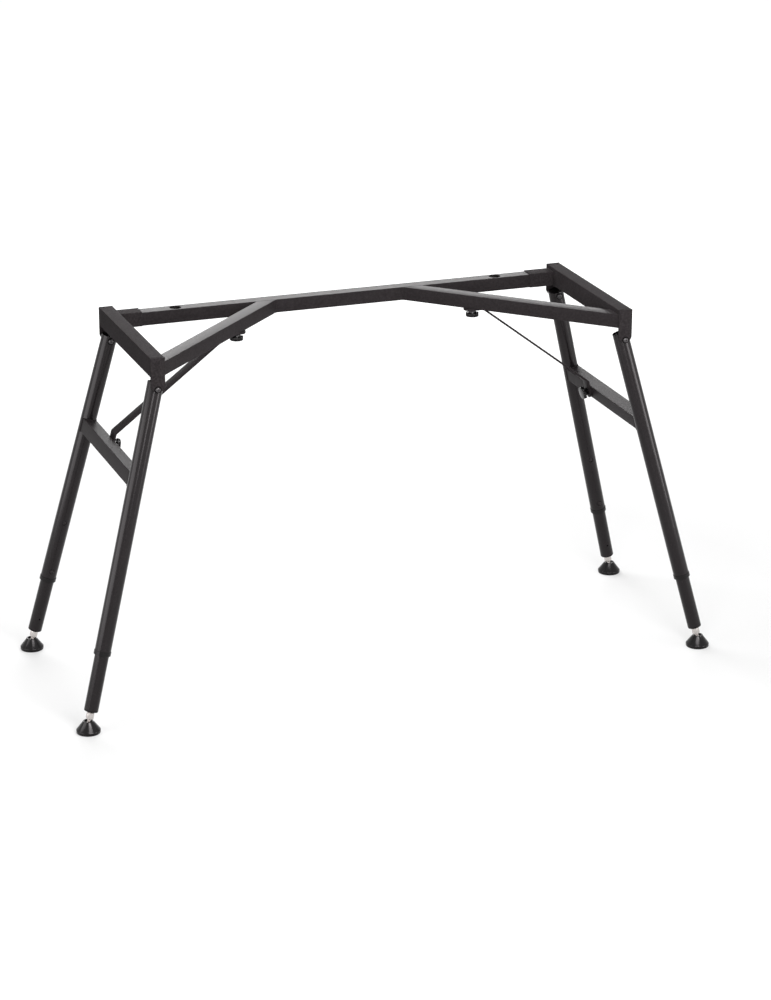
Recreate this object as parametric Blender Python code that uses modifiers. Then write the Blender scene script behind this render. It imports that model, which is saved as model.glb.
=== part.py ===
"""Folding keyboard stand: two side beams on a rear rail and two diagonals, with four telescopic legs.

Metres, +Z up. +X is the player's right and -Y is the front. Each pair of legs folds about its own pivot line.
"""
import math

import bmesh
import bpy
from mathutils import Matrix, Vector

# Clearances
GAP = 0.0003  # between pieces that touch on the real stand

# Side beams, which the keyboard rests on
WIDTH = 1.000
BEAM_WIDE = 0.0285
BEAM_TALL = 0.038
BEAM_LONG = 0.366
TUBE_WALL = 0.0015
TUBE_CORNER = 0.0012

# Rear rail, its saddles and its accessory holes
RAIL_DEEP = 0.030
RAIL_TALL = 0.0275
SADDLE_LONG = 0.0515
HOLE_FROM_BEAM = 0.1252
HOLE_RADIUS = 0.012

# Diagonals at 45 degrees; DIAGONAL_IN is from a beam's front end to the centre line
DIAGONAL_WIDE = 0.030
DIAGONAL_IN = 0.0233

# Pivot lugs, bolts and nuts
LUG_THICK = 0.004
LUG_BELOW_BEAM = 0.030
LUG_CORNER = 0.0135
PIVOT_IN = 0.0135
PIVOT_DROP = 0.0625
BOLT_RADIUS = 0.003
BOLT_HEAD_RADIUS = 0.00525
BOLT_HEAD_TALL = 0.0033
BOLT_PAST_NUT = 0.001
BOLT_CHAMFER = 0.0005
SOCKET_RADIUS = 0.0023
SOCKET_DEEP = 0.002
NUT_TALL = 0.005
NUT_FLATS = 0.010

# Legs; LEG_LONG is from the pivot down to the upper tube's end
LEG_TILT = math.radians(14.35)
LEG_LEAN = 0.089
LEG_RADIUS = 0.016
LEG_WALL = 0.0015
LEG_RIM = 0.0095
LEG_CLEAR = 0.0005  # more room between a leg and its lug, for folding
LEG_LONG = 0.532
LOWER_RADIUS = 0.014
LOWER_WALL = 0.0012
LOWER_INSIDE = 0.107
LOWER_SHOWN = 0.115
TOP_PLUG_DEEP = 0.002
TOP_PLUG_TALL = 0.003

# Height catch
HOLE_PITCH = 0.110
BUTTON_ABOVE_END = 0.022
BUTTON_RADIUS = 0.0042
BUTTON_PROUD = 0.0026
FAR_HOLE_RADIUS = 0.0018
COLLAR_RADIUS = 0.0170
COLLAR_TALL = 0.006
COLLAR_LIP = 0.0026

# Crossbars and the threaded bosses for the brace knobs
CROSSBAR_DOWN = 0.186
CROSSBAR_SIZE = 0.028
BOSS_RADIUS = 0.006
BOSS_TALL = 0.008

# Feet, from the lower tube's end down
PLUG_FLANGE = 0.0022
PLUG_CHAMFER = 0.0012
PLUG_TALL = 0.018
STUD_RADIUS = 0.004
STUD_INSIDE = 0.019
HEX_BELOW_PLUG = 0.003
HEX_TALL = 0.012
HEX_RADIUS = 0.0078
BALL_BELOW_HEX = 0.012
BALL_RADIUS = 0.006
NECK_RADIUS = 0.0025
NECK_LONG = 0.007
PAD_RADIUS = 0.024
PAD_RIM_RADIUS = 0.0108
PAD_TALL = 0.0246
PAD_SIDE = 0.0068
PAD_CHAMFER = 0.001
PAD_MOUTH = 0.0042  # room round the stud, for tilting
PAD_CUP_UP = 24  # degrees that the cup's side rises above the ball's centre
PAD_UNDER_BALL = 0.0104

# Braces
BRACE_Y = 0.0567
BRACE_WIDE = 0.028
BRACE_THICK = 0.004
BRACE_BEND = 0.005
BRACE_TAB_END = 0.0185
BRACE_TAB_BEND = 0.0198
BRACE_ABOVE = 0.0253

# Knobs; KNOB_OFF_CENTRE is how far the upper one lies in front of the diagonal's centre line, along X
KNOB_OFF_CENTRE = 0.0024
KNOB_RADIUS = 0.014
KNOB_LOBES = 8
KNOB_LOBE_DEEP = 0.0025
KNOB_GRIP = 0.0062
KNOB_FACE_RADIUS = 0.0133
KNOB_FACE = 0.0012
KNOB_HUB_RADIUS = 0.0075
KNOB_HUB = 0.0062
KNOB_STUD = 0.003

# Sides of round pieces and of the crossbars' coped ends
STEPS = 24
COPE_SIDES = 32

# Places that follow from the sizes
LEG_UP_Z = math.cos(LEG_TILT) / math.hypot(1.0, LEG_LEAN)
LOWER_END = LEG_LONG + LOWER_SHOWN
BUTTON_DOWN = LEG_LONG - BUTTON_ABOVE_END
HEX_DOWN = LOWER_END + GAP + PLUG_FLANGE + HEX_BELOW_PLUG
BALL_DOWN = HEX_DOWN + HEX_TALL + BALL_BELOW_HEX
BALL_CUP = BALL_RADIUS + GAP
PIVOT_Z = PAD_UNDER_BALL + BALL_CUP + BALL_DOWN * LEG_UP_Z
HEIGHT = PIVOT_Z + PIVOT_DROP
TUBE_BOTTOM = HEIGHT - BEAM_TALL
BEAM_INNER = WIDTH / 2 - BEAM_WIDE
PIVOT_X = WIDTH / 2 - PIVOT_IN
LUG_BELOW_PIVOT = BEAM_TALL + LUG_BELOW_BEAM - PIVOT_DROP
LEG_HALF_DEEP = LEG_RADIUS * math.hypot(1.0, LEG_LEAN)
LEG_Y = BEAM_LONG / 2 - LEG_HALF_DEEP - LUG_BELOW_PIVOT * LEG_LEAN - LEG_CLEAR
RAIL_Y = BEAM_LONG / 2 - RAIL_DEEP / 2
RAIL_Z = TUBE_BOTTOM + RAIL_TALL / 2
DIAGONAL_SUM = BEAM_INNER - BEAM_LONG / 2 + DIAGONAL_IN  # |x| + y on the centre line
KNOB_OUT = DIAGONAL_SUM - BRACE_Y - KNOB_OFF_CENTRE


def make_collections():
    """Removes what the scene holds and returns the collections for the pieces and for their cutters."""
    for item in list(bpy.data.objects):
        bpy.data.objects.remove(item)
    pieces = bpy.data.collections.new("keyboard_stand")
    cutters = bpy.data.collections.new("cutters")
    cutters.hide_render = True
    for collection in (pieces, cutters):
        bpy.context.scene.collection.children.link(collection)
    return pieces, cutters


PIECES, CUTTERS = make_collections()


def make_material(name, colour, roughness, metallic):
    """Returns a Principled material."""
    material = bpy.data.materials.new(name)
    material.use_nodes = True
    shader = material.node_tree.nodes["Principled BSDF"]
    shader.inputs["Base Color"].default_value = (*colour, 1.0)
    shader.inputs["Roughness"].default_value = roughness
    shader.inputs["Metallic"].default_value = metallic
    return material


COAT = make_material("black_powder_coat", (0.022, 0.021, 0.022), 0.45, 0.0)
PLASTIC = make_material("black_plastic", (0.010, 0.010, 0.010), 0.35, 0.0)
ZINC = make_material("zinc_plated_steel", (0.62, 0.60, 0.60), 0.30, 1.0)
DARK_STEEL = make_material("black_oxide_steel", (0.06, 0.06, 0.06), 0.40, 0.8)
NYLON = make_material("grey_nylon", (0.45, 0.45, 0.44), 0.50, 0.0)


def place(name, mesh, matrix, material):
    """Adds a piece of the stand."""
    item = bpy.data.objects.new(name, mesh)
    item.matrix_world = matrix
    item.data.materials.append(material)
    PIECES.objects.link(item)
    return item


def cutter(name, mesh, matrix):
    """Adds a tool for a Boolean."""
    item = bpy.data.objects.new("cut_" + name, mesh)
    item.matrix_world = matrix
    item.hide_render = True
    item.display_type = "WIRE"
    CUTTERS.objects.link(item)
    return item


def combine(item, tool, operation="DIFFERENCE"):
    """Applies one Boolean of a tool to a piece."""
    step = item.modifiers.new(tool.name, "BOOLEAN")
    step.object = tool
    step.operation = operation
    step.solver = "EXACT"


def finish(bm, name):
    """Turns a bmesh into a mesh with outward faces."""
    bmesh.ops.recalc_face_normals(bm, faces=bm.faces)
    mesh = bpy.data.meshes.new(name)
    bm.to_mesh(mesh)
    bm.free()
    return mesh


def box_mesh(size, radius=0.0, axis=1):
    """A box about the origin, its long edges rounded along one axis."""
    bm = bmesh.new()
    bmesh.ops.create_cube(bm, size=1.0)
    bmesh.ops.scale(bm, vec=size, verts=bm.verts)
    if radius > 0.0:
        along = [e for e in bm.edges if abs((e.verts[0].co - e.verts[1].co)[axis]) > size[axis] / 2]
        bmesh.ops.bevel(bm, geom=along, offset=radius, segments=2, profile=0.5, affect="EDGES")
    return finish(bm, "box")


def rod_mesh(radius, top, bottom, sides=STEPS):
    """A cylinder or prism on the local Z axis between two heights."""
    bm = bmesh.new()
    middle = Matrix.Translation((0, 0, (top + bottom) / 2))
    bmesh.ops.create_cone(bm, cap_ends=True, segments=sides, radius1=radius, radius2=radius,
                          depth=top - bottom, matrix=middle)
    return finish(bm, "rod")


def outline_mesh(points, depth):
    """A flat outline in X and Z, extruded along Y about the origin."""
    bm = bmesh.new()
    front = bm.faces.new([bm.verts.new((x, -depth / 2, z)) for x, z in points])
    extruded = bmesh.ops.extrude_face_region(bm, geom=[front])["geom"]
    moved = [v for v in extruded if isinstance(v, bmesh.types.BMVert)]
    bmesh.ops.translate(bm, vec=(0, depth, 0), verts=moved)
    return finish(bm, "outline")


def arc(centre, radius, start, end, steps=6):
    """Points along an arc, in degrees."""
    turns = [math.radians(start + (end - start) * i / steps) for i in range(steps + 1)]
    return [(centre[0] + radius * math.cos(a), centre[1] + radius * math.sin(a)) for a in turns]


def turned(name, outline, matrix, material, closed=False):
    """A piece turned about its local Z axis from (radius, height) points, outer side from top to bottom."""
    mesh = bpy.data.meshes.new(name)
    count = len(outline)
    edges = [(i, (i + 1) % count) for i in range(count if closed else count - 1)]
    mesh.from_pydata([(r, 0.0, z) for r, z in outline], edges, [])
    item = place(name, mesh, matrix, material)
    screw = item.modifiers.new("turn", "SCREW")
    screw.steps = screw.render_steps = STEPS
    screw.use_merge_vertices = True
    screw.merge_threshold = 0.00001
    screw.use_smooth_shade = True
    return item


def rect_tube(name, size, axis, matrix, material):
    """A rectangular tube open at both ends."""
    item = place(name, box_mesh(size, TUBE_CORNER, axis), matrix, material)
    inner = [s - 2 * TUBE_WALL for s in size]
    inner[axis] = 1.1 * size[axis]
    combine(item, cutter(name + "_bore", box_mesh(inner, TUBE_CORNER - TUBE_WALL, axis), matrix))
    return item


def side_name(side):
    return "left" if side < 0 else "right"


def end_name(end):
    return "front" if end < 0 else "rear"


def along_y(centre):
    """A frame whose local Z points along world Y."""
    return Matrix.Translation(centre) @ Matrix.Rotation(-math.pi / 2, 4, "X")


def leg_frame(side, end):
    """A leg's frame: origin on its pivot, local Z up along the leg."""
    up = Vector((-side * math.sin(LEG_TILT), -end * LEG_LEAN, math.cos(LEG_TILT))).normalized()
    across = Vector((0, 1, 0)).cross(up).normalized()
    matrix = Matrix((across, up.cross(across), up)).transposed().to_4x4()
    matrix.translation = Vector((side * PIVOT_X, end * LEG_Y, PIVOT_Z))
    return matrix


def catch_frame(side, end, down):
    """A frame on a leg's axis whose local Z points sideways, towards the middle of the stand's depth."""
    frame = leg_frame(side, end)
    turn = frame @ Matrix.Rotation(end * math.pi / 2, 4, "X")
    turn.translation = frame @ Vector((0, 0, -down))
    return turn


def crossbar_frame(side):
    """A crossbar's frame: local Y along it, local X pointing to the stand's middle."""
    middle = (leg_frame(side, -1) @ Vector((0, 0, -CROSSBAR_DOWN))
              + leg_frame(side, 1) @ Vector((0, 0, -CROSSBAR_DOWN))) / 2
    turn = Matrix.Rotation(-side * LEG_TILT, 4, "Y")
    if side > 0:
        turn = turn @ Matrix.Rotation(math.pi, 4, "Z")
    return Matrix.Translation(middle) @ turn


def lower_knob_frame(side):
    """A frame on the crossbar's inner face; local Z is the knob's axis and points to the stand's middle."""
    local_y = BRACE_Y if side < 0 else -BRACE_Y
    return (crossbar_frame(side) @ Matrix.Translation((CROSSBAR_SIZE / 2, local_y, 0))
            @ Matrix.Rotation(math.pi / 2, 4, "Y"))


def upper_knob_frame(side):
    """A frame under the diagonal; local Z is the knob's axis and points down."""
    return Matrix.Translation((side * KNOB_OUT, BRACE_Y, TUBE_BOTTOM)) @ Matrix.Rotation(math.pi, 4, "X")


def make_rail():
    """The rear rail with its accessory holes."""
    item = rect_tube("rear_rail", (2 * (BEAM_INNER - GAP), RAIL_DEEP, RAIL_TALL), 0,
                     Matrix.Translation((0, RAIL_Y, RAIL_Z)), COAT)
    for side in (-1, 1):
        hole = cutter(side_name(side) + "_rail_hole", rod_mesh(HOLE_RADIUS, RAIL_TALL, 0.0),
                      Matrix.Translation((side * (BEAM_INNER - HOLE_FROM_BEAM), RAIL_Y, RAIL_Z)))
        combine(item, hole)


def make_beam(side):
    """One side beam."""
    rect_tube(side_name(side) + "_side_beam", (BEAM_WIDE, BEAM_LONG, BEAM_TALL), 1,
              Matrix.Translation((side * (WIDTH - BEAM_WIDE) / 2, 0, HEIGHT - BEAM_TALL / 2)), COAT)


def make_saddle(side):
    """The channel on a beam's inner face that covers the rail's end, open below."""
    inner = RAIL_DEEP / 2 + GAP
    outer = inner + TUBE_WALL
    roof = RAIL_TALL + GAP
    top = roof + TUBE_WALL
    c = TUBE_CORNER
    points = [(-outer, 0.0)] + arc((c - outer, top - c), c, 180, 90, 3)
    points += arc((outer - c, top - c), c, 90, 0, 3) + [(outer, 0.0)]
    points += [(inner, 0.0), (inner, roof), (-inner, roof), (-inner, 0.0)]
    centre = Vector((side * (BEAM_INNER - GAP - SADDLE_LONG / 2), RAIL_Y, TUBE_BOTTOM))
    place(side_name(side) + "_rail_saddle", outline_mesh(points, SADDLE_LONG),
          Matrix.Translation(centre) @ Matrix.Rotation(math.pi / 2, 4, "Z"), COAT)


def make_diagonal(side):
    """One diagonal from the rear rail to the front end of a side beam, with the brace knob's boss."""
    name = side_name(side)
    centre = Vector((side * DIAGONAL_SUM / 2, DIAGONAL_SUM / 2, RAIL_Z))
    turn = Matrix.Translation(centre) @ Matrix.Rotation(side * math.pi / 4, 4, "Z")
    item = rect_tube(name + "_diagonal", (DIAGONAL_WIDE, 2 * WIDTH, RAIL_TALL), 1, turn, COAT)
    rail_front = RAIL_Y - RAIL_DEEP / 2 - GAP
    reach = BEAM_INNER - GAP
    region = cutter(name + "_diagonal_ends", box_mesh((reach, 2 * rail_front + WIDTH, 4 * RAIL_TALL)),
                    Matrix.Translation((side * reach / 2, -WIDTH / 2, RAIL_Z)))
    combine(item, region, "INTERSECT")
    add_boss(item, upper_knob_frame(side))


def add_boss(item, frame):
    """Adds a threaded boss inside a tube's wall; local Z of its frame points out of the wall."""
    boss = rod_mesh(BOSS_RADIUS, -TUBE_WALL / 3, -BOSS_TALL)
    combine(item, cutter(item.name + "_boss", boss, frame), "UNION")
    combine(item, cutter(item.name + "_thread", rod_mesh(KNOB_STUD + GAP, BOSS_TALL, -2 * BOSS_TALL), frame))


def make_lug(side, end):
    """One pivot lug on the end of a side beam."""
    half = BEAM_WIDE / 2
    low = -BEAM_TALL - LUG_BELOW_BEAM
    points = [(-half, 0.0)]
    points += arc((-half + LUG_CORNER, low + LUG_CORNER), LUG_CORNER, 180, 270)
    points += arc((half - LUG_CORNER, low + LUG_CORNER), LUG_CORNER, 270, 360)
    points += [(half, 0.0)]
    y = end * (BEAM_LONG / 2 + GAP + LUG_THICK / 2)
    name = f"{side_name(side)}_{end_name(end)}_lug"
    item = place(name, outline_mesh(points, LUG_THICK),
                 Matrix.Translation((side * (WIDTH - BEAM_WIDE) / 2, y, HEIGHT)), COAT)
    hole = rod_mesh(BOLT_RADIUS + GAP, LUG_THICK, -LUG_THICK)
    combine(item, cutter(name + "_hole", hole, along_y((side * PIVOT_X, y, PIVOT_Z))))


def make_bolt(side, end):
    """One pivot bolt with its nut. The head faces the front on every leg."""
    name = f"{side_name(side)}_{end_name(end)}_pivot"
    nut_radius = NUT_FLATS / math.sqrt(3)
    lug_out = BEAM_LONG / 2 + LUG_THICK + 2 * GAP
    leg_in = LEG_Y - LEG_HALF_DEEP - max(nut_radius, BOLT_HEAD_RADIUS) * LEG_LEAN - GAP
    head, nut = (-lug_out, -leg_in) if end < 0 else (leg_in, lug_out)
    shaft_end = nut + NUT_TALL + BOLT_PAST_NUT
    top = head - BOLT_HEAD_TALL
    dome = arc((BOLT_HEAD_RADIUS - BOLT_HEAD_TALL, head), BOLT_HEAD_TALL, 0, -60, 4)
    shaft = [(0.0, shaft_end), (BOLT_RADIUS - BOLT_CHAMFER, shaft_end),
             (BOLT_RADIUS, shaft_end - BOLT_CHAMFER), (BOLT_RADIUS, head)]
    outline = shaft + dome + [(dome[-1][0] - BOLT_CHAMFER, top), (0.0, top)]
    axis = along_y((side * PIVOT_X, 0, PIVOT_Z))
    bolt = turned(name + "_bolt", outline, axis, DARK_STEEL)
    socket = rod_mesh(SOCKET_RADIUS, top + SOCKET_DEEP, top - BOLT_HEAD_TALL, 6)
    combine(bolt, cutter(name + "_socket", socket, axis))
    nut_item = place(name + "_nut", rod_mesh(nut_radius, nut + NUT_TALL, nut, 6), axis, DARK_STEEL)
    bore = rod_mesh(BOLT_RADIUS + GAP, nut + 2 * NUT_TALL, nut - NUT_TALL)
    combine(nut_item, cutter(name + "_nut_bore", bore, axis))


def make_upper_leg(side, end):
    """The upper tube with its top plug and its collar."""
    name = f"{side_name(side)}_{end_name(end)}"
    frame = leg_frame(side, end)
    bore = LEG_RADIUS - LEG_WALL
    tube = [(LEG_RADIUS, LEG_RIM), (LEG_RADIUS, -LEG_LONG), (bore, -LEG_LONG), (bore, LEG_RIM)]
    item = turned(name + "_upper_leg", tube, frame, COAT, closed=True)
    bolt_hole = rod_mesh(BOLT_RADIUS + GAP, 2 * LEG_RADIUS, -2 * LEG_RADIUS)
    combine(item, cutter(name + "_bolt_hole", bolt_hole, along_y(frame.translation)))
    hole = rod_mesh(BUTTON_RADIUS + GAP, 2 * LEG_RADIUS, LOWER_RADIUS / 2)
    for word, down in (("button", BUTTON_DOWN), ("spare", BUTTON_DOWN - HOLE_PITCH)):
        combine(item, cutter(f"{name}_{word}_hole", hole, catch_frame(side, end, down)))

    top = LEG_RIM - TOP_PLUG_DEEP
    fit = bore - GAP
    plug = [(0.0, top), (fit, top), (fit, top - TOP_PLUG_TALL), (0.0, top - TOP_PLUG_TALL)]
    turned(name + "_top_plug", plug, frame, PLASTIC)

    low = -LEG_LONG - GAP
    grip = LEG_RADIUS + GAP
    slide = LOWER_RADIUS + GAP
    lip = low - COLLAR_LIP
    collar = [(COLLAR_RADIUS, low + COLLAR_TALL), (COLLAR_RADIUS, lip), (slide, lip), (slide, low),
              (grip, low), (grip, low + COLLAR_TALL)]
    turned(name + "_leg_collar", collar, frame, PLASTIC, closed=True)


def make_button(side, end):
    """The round button of the height catch, in its hole in the upper tube."""
    name = f"{side_name(side)}_{end_name(end)}_height_button"
    base = LOWER_RADIUS + GAP
    top = LEG_RADIUS + BUTTON_PROUD
    crown = [(BUTTON_RADIUS * math.sin(a), LEG_RADIUS + BUTTON_PROUD * math.cos(a))
             for a in (math.radians(t) for t in (25, 50, 75, 90))]
    outline = [(0.0, top)] + crown + [(BUTTON_RADIUS, base), (0.0, base)]
    turned(name, outline, catch_frame(side, end, BUTTON_DOWN), NYLON)


def make_lower_leg(side, end):
    """The lower tube with its catch holes and its foot plug."""
    name = f"{side_name(side)}_{end_name(end)}"
    frame = leg_frame(side, end)
    bore = LOWER_RADIUS - LOWER_WALL
    top = -LEG_LONG + LOWER_INSIDE
    tube = [(LOWER_RADIUS, top), (LOWER_RADIUS, -LOWER_END), (bore, -LOWER_END), (bore, top)]
    item = turned(name + "_lower_leg", tube, frame, COAT, closed=True)
    catch = rod_mesh(BUTTON_RADIUS + 2 * GAP, 2 * LOWER_RADIUS, LOWER_RADIUS / 2)
    combine(item, cutter(name + "_catch_hole", catch, catch_frame(side, end, BUTTON_DOWN)))
    far = rod_mesh(FAR_HOLE_RADIUS, 2 * LOWER_RADIUS, LOWER_RADIUS / 2)
    combine(item, cutter(name + "_far_hole", far, catch_frame(side, end, BUTTON_DOWN + HOLE_PITCH)))

    flange = -LOWER_END - GAP
    fit = bore - GAP
    hole = STUD_RADIUS + GAP
    end_z = flange - PLUG_FLANGE
    plug = [(fit, flange + PLUG_TALL), (fit, flange), (LOWER_RADIUS, flange),
            (LOWER_RADIUS, end_z + PLUG_CHAMFER), (LOWER_RADIUS - PLUG_CHAMFER, end_z), (hole, end_z),
            (hole, flange + PLUG_TALL)]
    turned(name + "_foot_plug", plug, frame, PLASTIC, closed=True)


def make_stud(side, end):
    """The foot's threaded stud with its hexagon and ball."""
    name = f"{side_name(side)}_{end_name(end)}_foot_stud"
    frame = leg_frame(side, end)
    ball = -BALL_DOWN
    shoulder = ball + NECK_LONG
    first = math.degrees(math.asin(NECK_RADIUS / BALL_RADIUS))
    sphere = arc((0.0, ball), BALL_RADIUS, 90 - first, -90, 9)
    sphere[-1] = (0.0, ball - BALL_RADIUS)
    top = -LOWER_END + STUD_INSIDE
    outline = [(0.0, top), (STUD_RADIUS, top), (STUD_RADIUS, shoulder), (NECK_RADIUS, shoulder)] + sphere
    item = turned(name, outline, frame, ZINC)
    hexagon = rod_mesh(HEX_RADIUS, -HEX_DOWN, -HEX_DOWN - HEX_TALL, 6)
    combine(item, cutter(name + "_hexagon", hexagon, frame), "UNION")


def make_pad(side, end):
    """The round foot pad, a cone with the ball's cup; its origin is the ball's centre."""
    centre = leg_frame(side, end) @ Vector((0, 0, -BALL_DOWN))
    floor = -centre.z
    rim = floor + PAD_TALL
    cup = arc((0.0, 0.0), BALL_CUP, -90, PAD_CUP_UP, 9)
    cup[0] = (0.0, -BALL_CUP)
    outside = [(STUD_RADIUS + PAD_MOUTH, rim), (PAD_RIM_RADIUS - PAD_CHAMFER, rim),
               (PAD_RIM_RADIUS, rim - PAD_CHAMFER), (PAD_RADIUS, floor + PAD_SIDE),
               (PAD_RADIUS - PAD_CHAMFER, floor + PAD_CHAMFER), (PAD_RADIUS - 2 * PAD_CHAMFER, floor),
               (0.0, floor)]
    turned(f"{side_name(side)}_{end_name(end)}_foot_pad", cup + outside, Matrix.Translation(centre), PLASTIC)


def make_crossbar(side):
    """The crossbar between the two legs of one side, coped round them, with a boss for the brace knob."""
    name = side_name(side)
    end_y = (leg_frame(side, 1) @ Vector((0, 0, -CROSSBAR_DOWN))).y
    item = rect_tube(name + "_crossbar", (CROSSBAR_SIZE, 2 * end_y, CROSSBAR_SIZE), 1, crossbar_frame(side),
                     COAT)
    cope = rod_mesh(LEG_RADIUS + GAP, 2 * CROSSBAR_SIZE - CROSSBAR_DOWN, -2 * CROSSBAR_SIZE - CROSSBAR_DOWN,
                    COPE_SIDES)
    for end in (-1, 1):
        combine(item, cutter(f"{name}_{end_name(end)}_cope", cope, leg_frame(side, end)))
    add_boss(item, lower_knob_frame(side))


def bent_path(corners, radius, steps=3):
    """Points on a path with rounded corners, each with the path's direction there."""
    path = [(corners[0], (corners[1] - corners[0]).normalized())]
    for before, corner, after in zip(corners, corners[1:], corners[2:]):
        run_in, run_out = (corner - before).normalized(), (after - corner).normalized()
        turn = run_in.angle_signed(run_out)
        cut = radius * math.tan(abs(turn) / 2)
        centre = corner - run_in * cut + Vector((run_in.y, -run_in.x)) * math.copysign(radius, turn)
        for i in range(steps + 1):
            spin = Matrix.Rotation(-turn * i / steps, 2)
            path.append((centre + spin @ (corner - run_in * cut - centre), spin @ run_in))
    path.append((corners[-1], (corners[-1] - corners[-2]).normalized()))
    return path


def make_brace(side):
    """One flat brace with round ends: a tab under the diagonal, a sloping strip and a tab on the crossbar."""
    name = side_name(side)
    bar = crossbar_frame(side)

    def on_bar(up):
        point = bar @ Vector((CROSSBAR_SIZE / 2 + GAP + BRACE_THICK / 2, 0, up))
        return Vector((side * point.x, point.z))

    high = TUBE_BOTTOM - GAP - BRACE_THICK / 2
    corners = [Vector((KNOB_OUT - BRACE_TAB_END, high)), Vector((KNOB_OUT + BRACE_TAB_BEND, high)),
               on_bar(BRACE_ABOVE), on_bar(-CROSSBAR_SIZE / 2)]
    path = bent_path(corners, BRACE_BEND)
    half = BRACE_WIDE / 2
    ends = [(half * (1 - math.cos(a)), half * math.sin(a)) for a in map(math.radians, (12, 32, 52, 71, 90))]
    first, last = path[0], path[-1]
    rows = [(first[0] + first[1] * along, wide) for along, wide in ends]
    rows += [(point, half) for point, run in path[1:-1]]
    rows += [(last[0] - last[1] * along, wide) for along, wide in reversed(ends)]
    bm = bmesh.new()
    pairs = [[bm.verts.new((side * point.x, across, point.y)) for across in (-wide, wide)]
             for point, wide in rows]
    for before, after in zip(pairs, pairs[1:]):
        bm.faces.new((*before, *reversed(after)))
    item = place(name + "_brace", finish(bm, "brace"), Matrix.Translation((0, BRACE_Y, 0)), COAT)
    shell = item.modifiers.new("thickness", "SOLIDIFY")
    shell.thickness = BRACE_THICK
    shell.offset = 0.0
    shell.use_even_offset = True
    hole = rod_mesh(KNOB_STUD + GAP, 2 * BRACE_THICK, -2 * BRACE_THICK)
    combine(item, cutter(name + "_upper_tab_hole", hole, upper_knob_frame(side)))
    combine(item, cutter(name + "_lower_tab_hole", hole, lower_knob_frame(side)))


def make_knob(name, frame):
    """A lobed knob with its round face, hub and stud; local Z points away from the tube."""
    seat = BRACE_THICK + 2 * GAP
    grip = seat + KNOB_HUB
    face = grip + KNOB_GRIP
    bm = bmesh.new()
    bmesh.ops.create_cone(bm, cap_ends=True, segments=8 * KNOB_LOBES, radius1=1.0, radius2=1.0,
                          depth=KNOB_GRIP, matrix=Matrix.Translation((0, 0, (grip + face) / 2)))
    for vert in bm.verts:
        turn = KNOB_LOBES * math.atan2(vert.co.y, vert.co.x)
        radius = KNOB_RADIUS - KNOB_LOBE_DEEP * (1 - math.cos(turn)) / 2
        vert.co.x *= radius
        vert.co.y *= radius
    item = place(name, finish(bm, name), frame, PLASTIC)
    overlap = KNOB_FACE / 4
    for word, radius, top, bottom in (("face", KNOB_FACE_RADIUS, face + KNOB_FACE, face - overlap),
                                      ("hub", KNOB_HUB_RADIUS, grip + overlap, seat),
                                      ("stud", KNOB_STUD, grip, GAP)):
        combine(item, cutter(f"{name}_{word}", rod_mesh(radius, top, bottom), frame), "UNION")


def main():
    make_rail()
    for side in (-1, 1):
        make_beam(side)
        make_saddle(side)
        make_diagonal(side)
        make_crossbar(side)
        for end in (-1, 1):
            make_lug(side, end)
            make_bolt(side, end)
            make_upper_leg(side, end)
            make_button(side, end)
            make_lower_leg(side, end)
            make_stud(side, end)
            make_pad(side, end)
        make_brace(side)
        make_knob(side_name(side) + "_upper_knob", upper_knob_frame(side))
        make_knob(side_name(side) + "_lower_knob", lower_knob_frame(side))


main()
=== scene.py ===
"""Looks of the folding keyboard stand: coated tubes, pivots, telescopic legs, feet, knobs, welds and the stage."""
import math

import bmesh
import bpy
from bpy.props import FloatProperty, FloatVectorProperty, PointerProperty
from mathutils import Matrix, Vector


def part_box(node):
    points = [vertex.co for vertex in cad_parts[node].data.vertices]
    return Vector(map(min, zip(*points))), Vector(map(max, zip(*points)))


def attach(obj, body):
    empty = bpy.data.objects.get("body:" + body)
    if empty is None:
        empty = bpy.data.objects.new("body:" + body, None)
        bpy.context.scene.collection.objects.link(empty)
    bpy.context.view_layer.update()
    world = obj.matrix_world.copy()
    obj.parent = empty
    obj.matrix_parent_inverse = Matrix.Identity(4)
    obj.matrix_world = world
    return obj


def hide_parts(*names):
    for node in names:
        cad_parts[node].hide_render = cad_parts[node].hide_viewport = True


bl_info = {
    "name": "Folding Keyboard Stand",
    "version": (2, 0, 0),
    "blender": (4, 5, 0),
    "location": "View3D > Sidebar > Stand",
    "description": "Finishes and fine shapes of a folding keyboard stand",
    "category": "Object",
}

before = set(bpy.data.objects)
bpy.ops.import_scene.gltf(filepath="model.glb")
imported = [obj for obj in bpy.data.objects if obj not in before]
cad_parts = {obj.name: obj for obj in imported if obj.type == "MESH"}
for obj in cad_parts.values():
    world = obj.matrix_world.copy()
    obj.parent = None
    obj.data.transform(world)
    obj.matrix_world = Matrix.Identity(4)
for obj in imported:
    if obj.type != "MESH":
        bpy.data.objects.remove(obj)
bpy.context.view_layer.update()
MM = 0.001
GAP = 0.3 * MM
SIDES = {-1: "left", 1: "right"}
ENDS = {-1: "front", 1: "rear"}

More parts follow.
